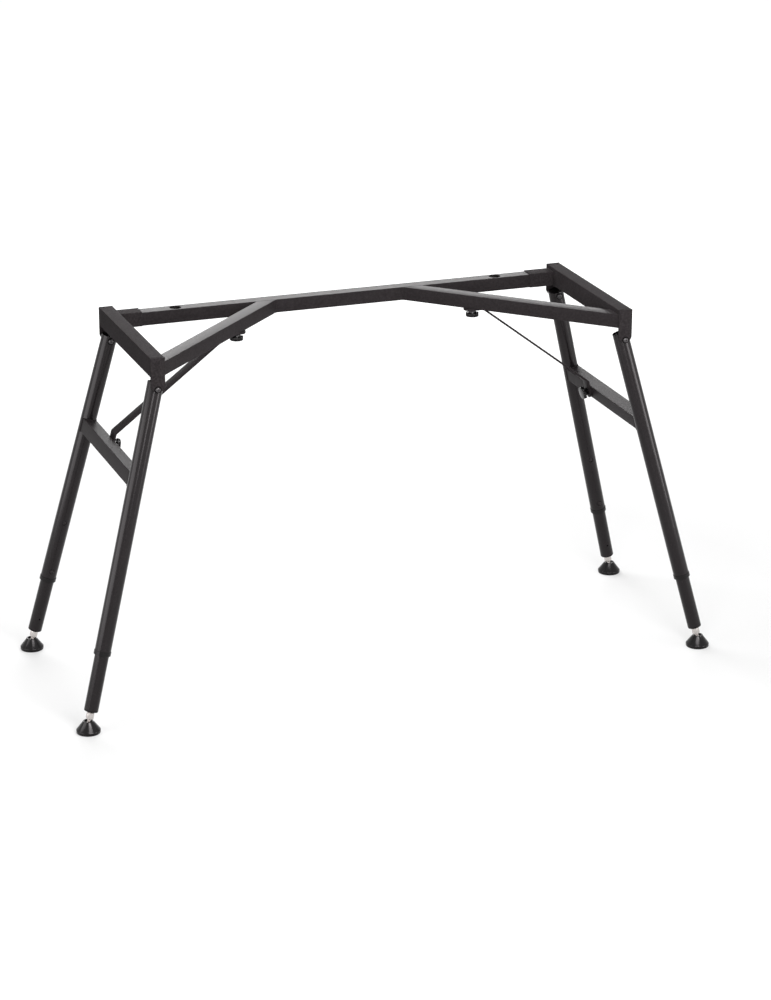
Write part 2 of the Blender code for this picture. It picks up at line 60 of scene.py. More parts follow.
# Tubes of the frame, as the frame gives them
BEAM_LOW, BEAM_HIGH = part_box("right_side_beam")
RAIL_LOW, RAIL_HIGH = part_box("rear_rail")
LUG_LOW, LUG_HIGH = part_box("right_front_lug")
PAD_LOW, PAD_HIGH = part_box("right_front_foot_pad")
BEAM_SIZE = BEAM_HIGH - BEAM_LOW
RAIL_SIZE = RAIL_HIGH - RAIL_LOW
LUG_SIZE = LUG_HIGH - LUG_LOW
WIDTH = 2 * BEAM_HIGH.x
HEIGHT = BEAM_HIGH.z
TUBE_BOTTOM = BEAM_LOW.z
BEAM_INNER = BEAM_LOW.x
BEAM_END = BEAM_HIGH.y
RAIL_Y = (RAIL_LOW.y + RAIL_HIGH.y) / 2
RAIL_Z = (RAIL_LOW.z + RAIL_HIGH.z) / 2

# Sizes of the frame's tubes that its boxes don't give
TUBE_WALL = 1.5 * MM
TUBE_CORNER = 1.2 * MM
SADDLE_LONG = 51.5 * MM
HOLE_FROM_BEAM = 125.2 * MM
HOLE_RADIUS = 12 * MM
DIAGONAL_WIDE = 30 * MM
DIAGONAL_SUM = BEAM_INNER - BEAM_END + 23.3 * MM
LUG_CORNER = 13.5 * MM

# Pivots
PIVOT_X = WIDTH / 2 - 13.5 * MM
PIVOT_Z = HEIGHT - 62.5 * MM
BOLT_RADIUS = 3 * MM
BOLT_HEAD_RADIUS = 5.25 * MM
BOLT_HEAD_TALL = 3.3 * MM
WASHER_RADIUS = 6.8 * MM
WASHER_TALL = 0.9 * MM
SOCKET_RADIUS = 2.3 * MM
NUT_TALL = 5 * MM
NUT_RADIUS = 10 * MM / math.sqrt(3)

# Legs; distances down a leg start at its pivot
LEG_TILT = math.radians(14.35)
LEG_LEAN = 0.089
LEG_RADIUS = 16 * MM
LEG_WALL = 1.5 * MM
LEG_RIM = 9.5 * MM
LEG_LONG = 532 * MM
LOWER_RADIUS = 14 * MM
LOWER_WALL = 1.2 * MM
LOWER_TOP = 425 * MM
LOWER_END = 647 * MM
BUTTON_DOWN = 510 * MM
HOLE_PITCH = 110 * MM
BUTTON_RADIUS = 4.2 * MM
BUTTON_PROUD = 2.6 * MM
CATCH_HOLE_RADIUS = 5 * MM
FAR_HOLE_RADIUS = 1.8 * MM
COLLAR_RADIUS = 17 * MM
COLLAR_TALL = 6 * MM
COLLAR_LIP = 2.6 * MM
LEG_HALF_DEEP = LEG_RADIUS * math.hypot(1.0, LEG_LEAN)
LEG_Y = BEAM_END - LEG_HALF_DEEP - (PIVOT_Z - LUG_LOW.z) * LEG_LEAN - 0.5 * MM

# Feet
PLUG_FLANGE = 2.2 * MM
PLUG_TALL = 18 * MM
STUD_RADIUS = 4 * MM
STUD_INSIDE = 19 * MM
THREAD_PITCH = 1.25 * MM
THREAD_DEEP = 0.5 * MM
HEX_DOWN = 652.5 * MM
HEX_TALL = 12 * MM
HEX_RADIUS = 7.8 * MM
BALL_DOWN = 676.5 * MM
BALL_RADIUS = 6 * MM
NECK_RADIUS = 2.5 * MM
NECK_LONG = 7 * MM
PAD_RADIUS = (PAD_HIGH.x - PAD_LOW.x) / 2
PAD_TALL = PAD_HIGH.z - PAD_LOW.z
PAD_RIM_RADIUS = 10.8 * MM
PAD_SIDE = 6.8 * MM

# Crossbars, braces and knobs
CROSSBAR_DOWN = 186 * MM
CROSSBAR_SIZE = 28 * MM
BRACE_Y = 56.7 * MM
BRACE_WIDE = 28 * MM
BRACE_THICK = 4 * MM
BRACE_BEND = 5 * MM
BRACE_TAB_END = 18.5 * MM
BRACE_TAB_BEND = 19.8 * MM
BRACE_ABOVE = 25.3 * MM
KNOB_OUT = DIAGONAL_SUM - BRACE_Y - 2.4 * MM
KNOB_RADIUS = 14 * MM
KNOB_LOBES = 8
KNOB_LOBE_DEEP = 2.5 * MM
KNOB_HUB_RADIUS = 7.5 * MM
KNOB_HUB = 6.2 * MM
KNOB_GRIP = 6.2 * MM
KNOB_FACE_RADIUS = 13.3 * MM
KNOB_FACE = 1.2 * MM
KNOB_STUD = 3 * MM

# Sides of round pieces
STEPS = 96


class StandColours(bpy.types.PropertyGroup):
    """Colours of the stand's finishes."""
    textured: FloatVectorProperty(name="Textured coat", description="Beams, lugs and saddles", subtype="COLOR_GAMMA",
                                  size=3, default=(0x27 / 255, 0x24 / 255, 0x25 / 255), min=0, max=1)
    satin: FloatVectorProperty(name="Satin coat", description="Rail, diagonals, crossbars and braces",
                               subtype="COLOR_GAMMA", size=3, default=(0x25 / 255, 0x22 / 255, 0x23 / 255), min=0, max=1)
    legs: FloatVectorProperty(name="Leg coat", description="Round leg tubes", subtype="COLOR_GAMMA", size=3,
                              default=(0x10 / 255, 0x0D / 255, 0x0E / 255), min=0, max=1)
    plastic: FloatVectorProperty(name="Plastic", description="Moulded black plastic", subtype="COLOR_GAMMA", size=3,
                                 default=(0x05 / 255, 0x05 / 255, 0x05 / 255), min=0, max=1)
    zinc: FloatVectorProperty(name="Zinc", description="Zinc plate of the foot studs", subtype="COLOR_GAMMA", size=3,
                              default=(0xBF / 255, 0xBA / 255, 0xB7 / 255), min=0, max=1)


class StandSizes(bpy.types.PropertyGroup):
    """Sizes of the stand's fine details."""
    edge: FloatProperty(name="Edge", description="Rounding of turned and moulded edges", default=0.4 * MM,
                        min=0.05 * MM, max=1 * MM, unit="LENGTH")
    seam: FloatProperty(name="Seam", description="Width of the open slot in a beam's top beside its lug",
                        default=2.4 * MM, min=0.3 * MM, max=5 * MM, unit="LENGTH")
    bead: FloatProperty(name="Weld bead", description="Radius of the weld beads", default=1.3 * MM, min=0.5 * MM,
                        max=3 * MM, unit="LENGTH")
    grain: FloatProperty(name="Coat grain", description="Size of the textured coat's grain", default=3.2 * MM,
                         min=0.2 * MM, max=8 * MM, unit="LENGTH")


def linear(value):
    """Turns an sRGB colour, as a hex value or as three shares, to linear."""
    if isinstance(value, str):
        value = [int(value[i:i + 2], 16) / 255 for i in (1, 3, 5)]
    return [c / 12.92 if c <= 0.04045 else ((c + 0.055) / 1.055) ** 2.4 for c in value]


def add_node(tree, kind, links=(), **settings):
    """Adds a shader node with its settings; links are pairs of an input's name and a socket."""
    node = tree.nodes.new(kind)
    for name, value in settings.items():
        if name in node.inputs:
            node.inputs[name].default_value = value
        else:
            setattr(node, name, value)
    for name, socket in links:
        tree.links.new(node.inputs[name], socket)
    return node


def finish_material(name, colour, roughness, grain, bump, mottle, metallic=0.0, specular=0.5):
    """A finish whose grain shows in its colour, gloss and height."""
    material = bpy.data.materials.new(name)
    material.use_nodes = True
    tree = material.node_tree
    shader = tree.nodes["Principled BSDF"]
    where = add_node(tree, "ShaderNodeTexCoord").outputs["Object"]
    fine = add_node(tree, "ShaderNodeTexNoise", [("Vector", where)], Scale=1.0 / grain, Detail=2.0, Roughness=0.5)
    broad = add_node(tree, "ShaderNodeTexNoise", [("Vector", where)], Scale=1.0 / (40 * MM), Detail=4.0, Roughness=0.6)
    patches = add_node(tree, "ShaderNodeMath", [(0, broad.outputs["Fac"])], operation="MULTIPLY_ADD")
    patches.inputs[1].default_value, patches.inputs[2].default_value = 0.5, -0.75
    both = add_node(tree, "ShaderNodeMath", [(0, fine.outputs["Fac"]), (2, patches.outputs["Value"])],
                    operation="MULTIPLY_ADD", use_clamp=True)
    both.inputs[1].default_value = 2.0
    dark, light = [(*[min(1.0, c * (1 + share)) for c in linear(colour)], 1.0) for share in (-mottle, mottle)]
    shade = add_node(tree, "ShaderNodeMixRGB", [("Fac", both.outputs["Value"])], Color1=dark, Color2=light)
    tree.links.new(shader.inputs["Base Color"], shade.outputs["Color"])
    rough = add_node(tree, "ShaderNodeMapRange", [("Value", fine.outputs["Fac"])])
    rough.inputs["To Min"].default_value = roughness - 0.06
    rough.inputs["To Max"].default_value = roughness + 0.06
    tree.links.new(shader.inputs["Roughness"], rough.outputs["Result"])
    height = add_node(tree, "ShaderNodeBump", [("Height", fine.outputs["Fac"])], Strength=bump, Distance=0.1 * MM)
    tree.links.new(shader.inputs["Normal"], height.outputs["Normal"])
    shader.inputs["Metallic"].default_value = metallic
    shader.inputs["Specular IOR Level"].default_value = specular
    shader.inputs["Specular Tint"].default_value = (1.0, 0.95, 0.97, 1.0)
    return material


def finishes():
    """All the finishes, made once."""
    made = bpy.data.materials
    if "textured powder coat" in made:
        return made
    colours = bpy.context.scene.stand_colours
    grain = bpy.context.scene.stand_sizes.grain
    # Baked polyester powder with a fine wrinkle: a dull sheen that breaks up into a grain. The real grain is
    # about 0.5 mm and is drawn coarser, so that it shows.
    finish_material("textured powder coat", colours.textured, 0.50, grain, bump=0.55, mottle=0.35, specular=0.003)
    # The same powder baked smooth: an even satin sheen that is brighter where it is seen at a low angle
    finish_material("satin powder coat", colours.satin, 0.36, 3.6 * MM, bump=0.15, mottle=0.25, specular=0.018)
    # Satin powder on drawn round tube: a clear soft streak down each leg
    finish_material("satin powder coat on round tube", colours.legs, 0.25, 3.6 * MM, bump=0.12, mottle=0.40,
                    specular=0.26)
    # Powder over a weld bead: the same coat on rippled metal
    finish_material("powder coat over weld", colours.satin, 0.40, 1.5 * MM, bump=0.6, mottle=0.10, specular=0.02)
    # Injection moulded polypropylene: near black, with a soft gloss
    finish_material("moulded black polypropylene", colours.plastic, 0.19, 4 * MM, bump=0.06, mottle=0.15,
                    specular=0.25)
    # Bright zinc plate on turned steel: light grey metal with small blurred streaks
    finish_material("bright zinc plate", colours.zinc, 0.26, 0.8 * MM, bump=0.08, mottle=0.06, metallic=1.0)
    # Black oxide on steel: dark metal with a thin oily sheen
    finish_material("black oxide steel", "#454344", 0.30, 1.2 * MM, bump=0.06, mottle=0.12,
                    metallic=0.7)
    # Soft moulded polyethylene of the plugs in the legs' mouths: flat black
    finish_material("matt black polyethylene", "#0C0A0B", 0.60, 2 * MM, bump=0.05, mottle=0.10, specular=0.02)
    # Moulded nylon of the height buttons and hole plugs: dull black, close to the legs' coat
    finish_material("moulded black nylon", "#262324", 0.45, 2 * MM, bump=0.05, mottle=0.10, specular=0.08)
    return made


def along_y(centre):
    """A frame whose local Z points to the rear."""
    return Matrix.Translation(centre) @ Matrix.Rotation(-math.pi / 2, 4, "X")


def leg_frame(side, end):
    """A leg's frame: origin on its pivot, local Z up along the leg."""
    up = Vector((-side * math.sin(LEG_TILT), -end * LEG_LEAN, math.cos(LEG_TILT))).normalized()
    across = Vector((0, 1, 0)).cross(up).normalized()
    matrix = Matrix((across, up.cross(across), up)).transposed().to_4x4()
    matrix.translation = Vector((side * PIVOT_X, end * LEG_Y, PIVOT_Z))
    return matrix


def catch_frame(side, end, down):
    """A frame on a leg's axis whose local Z points towards the middle of the stand's depth."""
    leg = leg_frame(side, end)
    turned = leg @ Matrix.Rotation(end * math.pi / 2, 4, "X")
    turned.translation = leg @ Vector((0, 0, -down))
    return turned


def crossbar_frame(side):
    """A crossbar's frame: local Y along it, local X to the stand's middle."""
    middle = (leg_frame(side, -1) @ Vector((0, 0, -CROSSBAR_DOWN))
              + leg_frame(side, 1) @ Vector((0, 0, -CROSSBAR_DOWN))) / 2
    turn = Matrix.Rotation(-side * LEG_TILT, 4, "Y")
    if side > 0:
        turn = turn @ Matrix.Rotation(math.pi, 4, "Z")
    return Matrix.Translation(middle) @ turn


def lower_knob_frame(side):
    """A frame on the crossbar's inner face; local Z points to the stand's middle."""
    local_y = BRACE_Y if side < 0 else -BRACE_Y
    return (crossbar_frame(side) @ Matrix.Translation((CROSSBAR_SIZE / 2, local_y, 0))
            @ Matrix.Rotation(math.pi / 2, 4, "Y"))


def upper_knob_frame(side):
    """A frame under the diagonal; local Z points down."""
    return Matrix.Translation((side * KNOB_OUT, BRACE_Y, TUBE_BOTTOM)) @ Matrix.Rotation(math.pi, 4, "X")


def soften(bm, edges, radius, segments=3):
    """Rounds edges of a bmesh."""
    bmesh.ops.bevel(bm, geom=list(edges), offset=radius, offset_type="OFFSET", segments=segments, profile=0.5,
                    affect="EDGES", clamp_overlap=True, material=-1)


def lathe(outline, closed=False, steps=STEPS):
    """A bmesh spun about Z from (radius, height) points."""
    bm = bmesh.new()
    verts = [bm.verts.new((r, 0, z)) for r, z in outline]
    pairs = list(zip(verts, verts[1:])) + ([(verts[-1], verts[0])] if closed else [])
    edges = [bm.edges.new(pair) for pair in pairs]
    bmesh.ops.spin(bm, geom=verts + edges, cent=(0, 0, 0), axis=(0, 0, 1), angle=math.tau, steps=steps,
                   use_merge=True, use_duplicate=False)
    bmesh.ops.remove_doubles(bm, verts=bm.verts, dist=1e-6)
    bmesh.ops.recalc_face_normals(bm, faces=bm.faces)
    return bm


def arc(centre, radius, start, end, steps=8):
    """Points along an arc, in degrees."""
    turns = [math.radians(start + (end - start) * i / steps) for i in range(steps + 1)]
    return [(centre[0] + radius * math.cos(a), centre[1] + radius * math.sin(a)) for a in turns]


def rod(radius, low, high, sides=48, edge=0.0):
    """A bmesh cylinder or prism on Z between two heights, its ends rounded by edge."""
    bm = bmesh.new()
    bmesh.ops.create_cone(bm, cap_ends=True, segments=sides, radius1=radius, radius2=radius, depth=high - low,
                          matrix=Matrix.Translation((0, 0, (low + high) / 2)))
    if edge:
        soften(bm, [e for e in bm.edges if abs(e.verts[0].co.z - e.verts[1].co.z) < 1e-7], edge)
    return bm


def box(size):
    """A bmesh box about the origin."""
    bm = bmesh.new()
    bmesh.ops.create_cube(bm, size=1.0)
    bmesh.ops.scale(bm, vec=size, verts=bm.verts)
    return bm


def square_tube(size, matrix, planes):
    """A bmesh of a square tube along its local Y, cut off at world planes of (point, outward normal)."""
    bm = bmesh.new()
    for inset in (0.0, TUBE_WALL):
        made = bmesh.ops.create_cube(bm, size=1.0)["verts"]
        bmesh.ops.scale(bm, vec=(size[0] - 2 * inset, size[1], size[2] - 2 * inset), verts=made)
        long_edges = {e for v in made for e in v.link_edges if abs(e.verts[0].co.y - e.verts[1].co.y) > size[1] / 2}
        soften(bm, long_edges, TUBE_CORNER if not inset else TUBE_CORNER / 3, 4)
    bm.transform(matrix)
    for point, normal in planes:
        bmesh.ops.bisect_plane(bm, geom=bm.verts[:] + bm.edges[:] + bm.faces[:], dist=1e-7, plane_co=point,
                               plane_no=normal, clear_outer=True)
        rim = [e for e in bm.edges if e.is_boundary
               and all(abs((v.co - Vector(point)).dot(Vector(normal))) < 1e-5 for v in e.verts)]
        bmesh.ops.triangle_fill(bm, use_beauty=True, edges=rim, normal=normal)
    bmesh.ops.recalc_face_normals(bm, faces=bm.faces)
    if bm.calc_volume(signed=True) < 0:
        bmesh.ops.reverse_faces(bm, faces=bm.faces)
    return bm


def merge(bm, *others):
    """Adds other bmeshes to the first."""
    for other in others:
        mesh = bpy.data.meshes.new("merged")
        other.to_mesh(mesh)
        other.free()
        bm.from_mesh(mesh)
        bpy.data.meshes.remove(mesh)
    return bm


def shade(item, smooth=30):
    """Shades a piece smooth up to an angle."""
    item.data.shade_smooth()
    item.data.set_sharp_from_angle(angle=math.radians(smooth))


def piece(name, bm, matrix, material, body, slot, *replaced):
    """Turns a bmesh into a finished piece that rides on a body and stands for CAD nodes."""
    bm.transform(matrix)
    mesh = bpy.data.meshes.new(name)
    bm.to_mesh(mesh)
    bm.free()
    item = bpy.data.objects.new(name, mesh)
    bpy.context.scene.collection.objects.link(item)
    mesh.materials.append(finishes()[material])
    shade(item)
    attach(item, body)
    if replaced:
        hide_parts(*replaced)
    return item


def carve(item, bm, matrix, operation="DIFFERENCE"):
    """Cuts or joins a tool with a finished piece."""
    bm.transform(matrix)
    mesh = bpy.data.meshes.new("tool")
    bm.to_mesh(mesh)
    bm.free()
    tool = bpy.data.objects.new("tool", mesh)
    bpy.context.scene.collection.objects.link(tool)
    step = item.modifiers.new("carve", "BOOLEAN")
    step.object, step.operation, step.solver = tool, operation, "EXACT"
    bpy.context.view_layer.update()
    result = bpy.data.meshes.new_from_object(item.evaluated_get(bpy.context.evaluated_depsgraph_get()))
    item.modifiers.clear()
    item.data = result
    bpy.data.objects.remove(tool)
    shade(item)


class STAND_OT_tubes(bpy.types.Operator):
    """Make the square tubes: side beams, rear rail, diagonals, saddles and crossbars"""
    bl_idname = "stand.tubes"
    bl_label = "Square Tubes"

    def execute(self, context):
        self.make_rail()
        for side, word in SIDES.items():
            self.make_beam(side, word, context.scene.stand_sizes.seam)
            self.make_saddle(side, word)
            self.make_diagonal(side, word)
            self.make_crossbar(side, word)
        return {"FINISHED"}

    def make_rail(self):
        end = RAIL_HIGH.x
        turn = Matrix.Translation((0, RAIL_Y, RAIL_Z)) @ Matrix.Rotation(math.pi / 2, 4, "Z")
        bm = square_tube((RAIL_SIZE.y, 4 * end, RAIL_SIZE.z), turn, [((s * end, 0, 0), (s, 0, 0)) for s in SIDES])
        item = piece("rail_tube", bm, Matrix(), "satin powder coat", "frame", "black_powder_coat", "rear_rail")
        for side in SIDES:
            spot = Matrix.Translation((side * (BEAM_INNER - HOLE_FROM_BEAM), RAIL_Y, RAIL_Z))
            carve(item, rod(HOLE_RADIUS, 0.0, RAIL_SIZE.z, 64), spot)

    def make_beam(self, side, word, seam):
        middle = Vector((side * (WIDTH - BEAM_SIZE.x) / 2, 0, HEIGHT - BEAM_SIZE.z / 2))
        planes = [((0, s * BEAM_END, 0), (0, s, 0)) for s in ENDS]
        bm = square_tube((BEAM_SIZE.x, 4 * BEAM_END, BEAM_SIZE.z), Matrix.Translation(middle), planes)
        item = piece(word + "_beam_tube", bm, Matrix(), "textured powder coat", "frame", "black_powder_coat",
                     word + "_side_beam")
        for end in ENDS:
            slot = box((2 * BEAM_SIZE.x, 2 * seam, 2.2 * TUBE_WALL))
            carve(item, slot, Matrix.Translation((middle.x, end * BEAM_END, HEIGHT)))

    def make_saddle(self, side, word):
        inner = RAIL_SIZE.y / 2 + GAP
        outer = inner + TUBE_WALL
        top = RAIL_SIZE.z + GAP + TUBE_WALL
        bm = box((2 * outer, SADDLE_LONG, 2 * top))
        crowns = [e for e in bm.edges if abs(e.verts[0].co.y - e.verts[1].co.y) > SADDLE_LONG / 2]
        soften(bm, crowns, TUBE_CORNER, 4)
        rims = [e for e in bm.edges if e.is_manifold and any(abs(f.normal.y) > 0.9 for f in e.link_faces)]
        soften(bm, rims, 0.3 * MM, 2)
        place = Matrix.Translation((side * (BEAM_INNER - GAP - SADDLE_LONG / 2), RAIL_Y, TUBE_BOTTOM))
        item = piece(word + "_saddle_channel", bm, place @ Matrix.Rotation(math.pi / 2, 4, "Z"),
                     "textured powder coat", "frame", "black_powder_coat", word + "_rail_saddle")
        hollow = box((2 * SADDLE_LONG, 2 * inner, 2 * (top - TUBE_WALL)))
        carve(item, hollow, place)
        carve(item, box((2 * SADDLE_LONG, 4 * outer, 4 * top)), place @ Matrix.Translation((0, 0, -2 * top)))

    def make_diagonal(self, side, word):
        centre = Vector((side * DIAGONAL_SUM / 2, DIAGONAL_SUM / 2, RAIL_Z))
        turn = Matrix.Translation(centre) @ Matrix.Rotation(side * math.pi / 4, 4, "Z")
        planes = [((0, RAIL_LOW.y - GAP, 0), (0, 1, 0)), ((side * (BEAM_INNER - GAP), 0, 0), (side, 0, 0))]
        bm = square_tube((DIAGONAL_WIDE, 4 * WIDTH, RAIL_SIZE.z), turn, planes)
        piece(word + "_diagonal_tube", bm, Matrix(), "satin powder coat", "frame", "black_powder_coat",
              word + "_diagonal")

    def make_crossbar(self, side, word):
        bar = crossbar_frame(side)
        end_y = (leg_frame(side, 1) @ Vector((0, 0, -CROSSBAR_DOWN))).y
        planes = [((0, s * end_y, 0), (0, s, 0)) for s in ENDS]
        bm = square_tube((CROSSBAR_SIZE, 4 * end_y, CROSSBAR_SIZE), bar, planes)
        item = piece(word + "_crossbar_tube", bm, Matrix(), "satin powder coat", word + "_leg_pair",
                     "black_powder_coat", word + "_crossbar")
        for end in ENDS:
            cope = rod(LEG_RADIUS + GAP, -CROSSBAR_DOWN - 2 * CROSSBAR_SIZE, -CROSSBAR_DOWN + 2 * CROSSBAR_SIZE, STEPS)
            carve(item, cope, leg_frame(side, end))


class STAND_OT_pivots(bpy.types.Operator):
    """Make the lugs with their button-head bolts and nuts"""
    bl_idname = "stand.pivots"
    bl_label = "Pivots"

    def execute(self, context):
        sizes = context.scene.stand_sizes
        for side, side_word in SIDES.items():
            for end, end_word in ENDS.items():
                self.make_lug(side, end, f"{side_word}_{end_word}", sizes)
                self.make_bolt(side, end, f"{side_word}_{end_word}", sizes.edge)
        return {"FINISHED"}

    def make_lug(self, side, end, name, sizes):
        bm = box(LUG_SIZE)
        low = [e for e in bm.edges if all(v.co.z < 0 for v in e.verts)
               and abs(e.verts[0].co.y - e.verts[1].co.y) > LUG_SIZE.y / 2]
        soften(bm, low, LUG_CORNER, 12)
        for face_side, radius in ((end, sizes.edge), (-end, sizes.edge)):
            outline = [e for e in bm.edges if all(abs(v.co.y - face_side * LUG_SIZE.y / 2) < 1e-6 for v in e.verts)]
            soften(bm, outline, radius)
        y = end * (BEAM_END + GAP + LUG_SIZE.y / 2)
        middle = (side * (WIDTH - BEAM_SIZE.x) / 2, y, HEIGHT - LUG_SIZE.z / 2)
        item = piece(name + "_lug_plate", bm, Matrix.Translation(middle), "textured powder coat", "frame",
                     "black_powder_coat", name + "_lug")
        carve(item, rod(BOLT_RADIUS + GAP, -LUG_SIZE.y, LUG_SIZE.y), along_y((side * PIVOT_X, y, PIVOT_Z)))

    def make_bolt(self, side, end, name, edge):
        lug_out = BEAM_END + LUG_SIZE.y + 2 * GAP
        leg_in = LEG_Y - LEG_HALF_DEEP - max(NUT_RADIUS, BOLT_HEAD_RADIUS) * LEG_LEAN - GAP
        head, nut = (-lug_out, -leg_in) if end < 0 else (leg_in, lug_out)
        tip = nut + NUT_TALL + 1.0 * MM
        top = head - BOLT_HEAD_TALL
        dome = arc((BOLT_HEAD_RADIUS - BOLT_HEAD_TALL, head), BOLT_HEAD_TALL, 0, -70, 8)
        outline = [(0.0, tip), (BOLT_RADIUS - 0.5 * MM, tip), (BOLT_RADIUS, tip - 0.5 * MM), (BOLT_RADIUS, head)]
        outline += dome + [(dome[-1][0] - edge, top), (0.0, top)]
        axis = along_y((side * PIVOT_X, 0, PIVOT_Z))
        bolt = piece(name + "_bolt", lathe(outline, steps=64), axis, "black oxide steel", "frame",
                     "black_oxide_steel", name + "_pivot_bolt")
        carve(bolt, rod(SOCKET_RADIUS, top - BOLT_HEAD_TALL, top + 2 * MM, 6), axis)
        inner, low = BOLT_HEAD_RADIUS + 0.1 * MM, head - WASHER_TALL
        ring = [(inner, head), (WASHER_RADIUS, head), (WASHER_RADIUS, low + edge / 2), (WASHER_RADIUS - edge / 2, low),
                (inner, low)]
        piece(name + "_washer", lathe(ring, True, 64), axis, "matt black polyethylene", "frame", "black_plastic")
        item = piece(name + "_nut", rod(NUT_RADIUS, nut, nut + NUT_TALL, 6), axis, "black oxide steel", "frame",
                     "black_oxide_steel", name + "_pivot_nut")
        bevel = [(0.0, nut + NUT_TALL), (NUT_RADIUS - 0.9 * MM, nut + NUT_TALL), (NUT_RADIUS, nut + NUT_TALL - 0.5 * MM),
                 (NUT_RADIUS, nut + 0.5 * MM), (NUT_RADIUS - 0.9 * MM, nut), (0.0, nut)]
        carve(item, lathe(bevel, steps=64), axis, "INTERSECT")
        carve(item, rod(BOLT_RADIUS + GAP, nut - NUT_TALL, nut + 2 * NUT_TALL), axis)


class STAND_OT_legs(bpy.types.Operator):
    """Make the telescopic tubes with their plugs, collars and buttons"""
    bl_idname = "stand.legs"
    bl_label = "Legs"

    def execute(self, context):
        edge = context.scene.stand_sizes.edge
        for side, side_word in SIDES.items():
            for end, end_word in ENDS.items():
                name = f"{side_word}_{end_word}"
                self.make_upper(side, end, name, side_word + "_leg_pair", edge)
                self.make_button(side, end, name)
                self.make_hole_plug(side, end, name, side_word + "_leg_pair")
                self.make_lower(side, end, name, edge)
        return {"FINISHED"}

    def make_upper(self, side, end, name, pair, edge):
        leg = leg_frame(side, end)
        bore = LEG_RADIUS - LEG_WALL
        tube = [(LEG_RADIUS - edge, LEG_RIM), (LEG_RADIUS - edge / 4, LEG_RIM - edge / 4), (LEG_RADIUS, LEG_RIM - edge),
                (LEG_RADIUS, -LEG_LONG + edge), (LEG_RADIUS - edge, -LEG_LONG), (bore, -LEG_LONG), (bore, LEG_RIM)]
        upper = piece(name + "_outer_tube", lathe(tube, True), leg, "satin powder coat on round tube", pair,
                      "black_powder_coat", name + "_upper_leg")
        for down in (BUTTON_DOWN, BUTTON_DOWN - HOLE_PITCH):
            carve(upper, rod(CATCH_HOLE_RADIUS, 0.5 * LOWER_RADIUS, 2 * LEG_RADIUS), catch_frame(side, end, down))
        carve(upper, rod(BOLT_RADIUS + GAP, -2 * LEG_RADIUS, 2 * LEG_RADIUS), along_y(leg.translation))
        top, fit = LEG_RIM - 2 * MM, bore - GAP
        plug = [(0.0, top), (fit - edge, top), (fit, top - edge), (fit, top - 3 * MM), (0.0, top - 3 * MM)]
        piece(name + "_plug_in_top", lathe(plug), leg, "matt black polyethylene", pair, "black_plastic",
              name + "_top_plug")
        low = -LEG_LONG - GAP
        lip, grip, slide = low - COLLAR_LIP, LEG_RADIUS + GAP, LOWER_RADIUS + GAP
        ring = [(COLLAR_RADIUS - edge, low + COLLAR_TALL), (COLLAR_RADIUS, low + COLLAR_TALL - edge),
                (COLLAR_RADIUS, lip + edge), (COLLAR_RADIUS - edge, lip), (slide, lip), (slide, low), (grip, low),
                (grip, low + COLLAR_TALL)]
        piece(name + "_collar", lathe(ring, True), leg, "moulded black polypropylene", pair, "black_plastic",
              name + "_leg_collar")

    def make_button(self, side, end, name):
        base = LOWER_RADIUS + GAP
        crown = [(BUTTON_RADIUS * math.sin(a), LEG_RADIUS + BUTTON_PROUD * math.cos(a))
                 for a in (math.radians(t) for t in range(10, 91, 10))]
        outline = [(0.0, LEG_RADIUS + BUTTON_PROUD)] + crown + [(BUTTON_RADIUS, base), (0.0, base)]
        piece(name + "_catch", lathe(outline, steps=48), catch_frame(side, end, BUTTON_DOWN), "moulded black nylon",
              name + "_button", "black_plastic", name + "_height_button")

    def make_hole_plug(self, side, end, name, pair):
        """The spare hole above the button is closed by a plug that sits just below the tube's face."""
        top, low = LEG_RADIUS - 0.7 * MM, LOWER_RADIUS + 0.8 * MM
        outline = [(0.0, top), (0.8 * BUTTON_RADIUS, top - 0.1 * MM), (BUTTON_RADIUS, top - 0.4 * MM),
                   (BUTTON_RADIUS, low), (0.0, low)]
        piece(name + "_hole_plug", lathe(outline, steps=48), catch_frame(side, end, BUTTON_DOWN - HOLE_PITCH),
              "moulded black nylon", pair, "black_plastic")

    def make_lower(self, side, end, name, edge):
        leg = leg_frame(side, end)
        bore = LOWER_RADIUS - LOWER_WALL
        tube = [(LOWER_RADIUS, -LOWER_TOP), (LOWER_RADIUS, -LOWER_END + edge), (LOWER_RADIUS - edge, -LOWER_END),
                (bore, -LOWER_END), (bore, -LOWER_TOP)]
        lower = piece(name + "_inner_tube", lathe(tube, True), leg, "satin powder coat on round tube",
                      name + "_lower", "black_powder_coat", name + "_lower_leg")
        for radius, down in ((BUTTON_RADIUS + 2 * GAP, BUTTON_DOWN), (FAR_HOLE_RADIUS, BUTTON_DOWN + HOLE_PITCH)):
            carve(lower, rod(radius, 0.5 * LOWER_RADIUS, 2 * LOWER_RADIUS), catch_frame(side, end, down))


